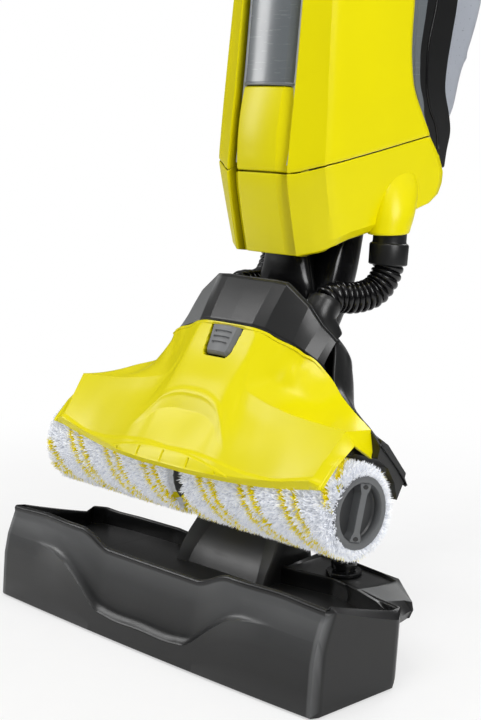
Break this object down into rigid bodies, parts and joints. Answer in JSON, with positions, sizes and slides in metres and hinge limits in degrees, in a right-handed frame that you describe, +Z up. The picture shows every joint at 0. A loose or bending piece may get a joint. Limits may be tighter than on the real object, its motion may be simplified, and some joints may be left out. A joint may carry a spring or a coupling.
{
  "type": "wet dry floor scrubber",
  "caption": "Upright wet and dry floor scrubber with microfibre rollers, hovering over its trough-shaped cleaning and parking station.",
  "frame": {"origin": "on the floor, under the rubber foot strip below the middle of the trough", "axes": "+Z up along the upright machine, +Y to the rear, X along the roller"},
  "size_m": [0.339, 0.3353, 1.2336],
  "materials": {
    "yellow": "semi-gloss moulded plastic",
    "graphite": "satin moulded plastic",
    "gloss_black": "gloss moulded plastic",
    "grey": "satin moulded plastic",
    "strip_grey": "satin tinted plastic",
    "clear_tank": "translucent moulded plastic",
    "microfibre": "shaggy microfibre pile",
    "rubber": "matte rubber",
    "steel": "turned steel"
  },
  "bodies": {
    "station": {"station_tray": "graphite", "station_backrest": "graphite", "station_shelf": "graphite", "foot_plate": "graphite", "roller_peg": "gloss_black", "foot_strip": "rubber"},
    "head": {"head_frame": "graphite", "belt_case": "gloss_black", "drive_belt": "rubber", "drive_motor": "steel", "suction_duct_left": "gloss_black", "suction_duct_right": "gloss_black", "scraper_blade": "rubber", "collar": "graphite", "rear_shell": "graphite", "neck_bracket": "gloss_black", "tilt_pin": "steel", "hose_boot_left": "gloss_black", "hose_boot_right": "gloss_black"},
    "roller": {"drive_shaft": "steel", "roller_pulley": "steel", "roller_core_left": "grey", "roller_core_right": "grey", "roller_sleeve_left": "microfibre", "roller_sleeve_right": "microfibre", "roller_cap_left": "grey", "roller_cap_right": "grey"},
    "motor": {"motor_pulley": "steel"},
    "hood": {"hood_cover": "yellow", "button_spring": "steel"},
    "release": {"release_button": "grey"},
    "wheel_left": {"wheel_left": "rubber"},
    "wheel_right": {"wheel_right": "rubber"},
    "yoke": {"neck_yoke": "gloss_black", "neck_tube": "gloss_black", "hose_left": "rubber", "hose_right": "rubber"},
    "upper": {"hose_socket_left": "gloss_black", "hose_socket_right": "gloss_black", "base_shell": "yellow", "base_plate": "gloss_black", "body_shell_left": "yellow", "body_shell_right": "yellow", "rear_frame": "gloss_black", "rear_cover": "gloss_black", "chassis_spine": "gloss_black", "fan_motor": "steel", "water_pump": "grey", "handle_shaft": "graphite", "handle_grip": "graphite", "cable_gland": "rubber"},
    "fan": {"fan_wheel": "grey"},
    "dirty": {"dirty_tank": "clear_tank", "dirty_tank_lid": "graphite", "tank_front_panel": "yellow", "tank_window": "strip_grey"},
    "fresh": {"fresh_tank": "clear_tank", "fresh_tank_cap": "graphite"},
    "switch": {"power_switch": "grey"},
    "hook": {"cable_hook": "graphite"}
  },
  "joints": [
    {"name": "machine_lift", "type": "slide", "parent": "station", "child": "head", "axis": [0, 0.2079, 0.9781], "range_m": [-0.04, 0.12]},
    {"name": "roller_spin", "type": "hinge", "parent": "head", "child": "roller", "pos_m": [0, 0.002, 0.1185], "axis": [1, 0, 0], "continuous": true},
    {"name": "motor_spin", "type": "hinge", "parent": "head", "child": "motor", "pos_m": [0, 0.044, 0.19], "axis": [1, 0, 0], "continuous": true},
    {"name": "hood_slide", "type": "slide", "parent": "head", "child": "hood", "axis": [0, -0.766, 0.6428], "range_m": [0, 0.06]},
    {"name": "release_press", "type": "slide", "parent": "hood", "child": "release", "axis": [0, 0.87, -0.493], "range_m": [0, 0.0025], "stiffness_N_per_m": 600, "springref_m": -0.001, "deforming": ["button_spring"]},
    {"name": "wheel_left_spin", "type": "hinge", "parent": "head", "child": "wheel_left", "pos_m": [-0.112, 0.054, 0.1065], "axis": [1, 0, 0], "continuous": true},
    {"name": "wheel_right_spin", "type": "hinge", "parent": "head", "child": "wheel_right", "pos_m": [0.112, 0.054, 0.1065], "axis": [1, 0, 0], "continuous": true},
    {"name": "neck_tilt", "type": "hinge", "parent": "head", "child": "yoke", "pos_m": [0, 0.082, 0.236], "axis": [-1, 0, 0], "range_deg": [0, 60], "deforming": ["hose_left", "hose_right"]},
    {"name": "neck_swivel", "type": "hinge", "parent": "yoke", "child": "upper", "pos_m": [0, 0.08217, 0.236], "axis": [0, 0.1305, 0.9914], "range_deg": [-40, 40], "deforming": ["hose_left", "hose_right"]},
    {"name": "fan_spin", "type": "hinge", "parent": "upper", "child": "fan", "pos_m": [0, 0.13632, 0.60516], "axis": [0, 0.1305, 0.9914], "continuous": true},
    {"name": "dirty_tank_slide", "type": "slide", "parent": "upper", "child": "dirty", "axis": [0, -0.9914, 0.1305], "range_m": [0, 0.11]},
    {"name": "fresh_tank_slide", "type": "slide", "parent": "upper", "child": "fresh", "axis": [0, 0.9914, -0.1305], "range_m": [0, 0.1]},
    {"name": "switch_press", "type": "slide", "parent": "upper", "child": "switch", "axis": [0, 0.1305, 0.9914], "range_m": [0, 0.008]},
    {"name": "hook_turn", "type": "hinge", "parent": "upper", "child": "hook", "pos_m": [0, 0.2126, 1.0848], "axis": [0, 0.9914, -0.1305], "range_deg": [0, 180]}
  ],
  "couplings": [
    {"joint": "motor_spin", "follows": "roller_spin", "ratio": 1.5556}
  ]
}
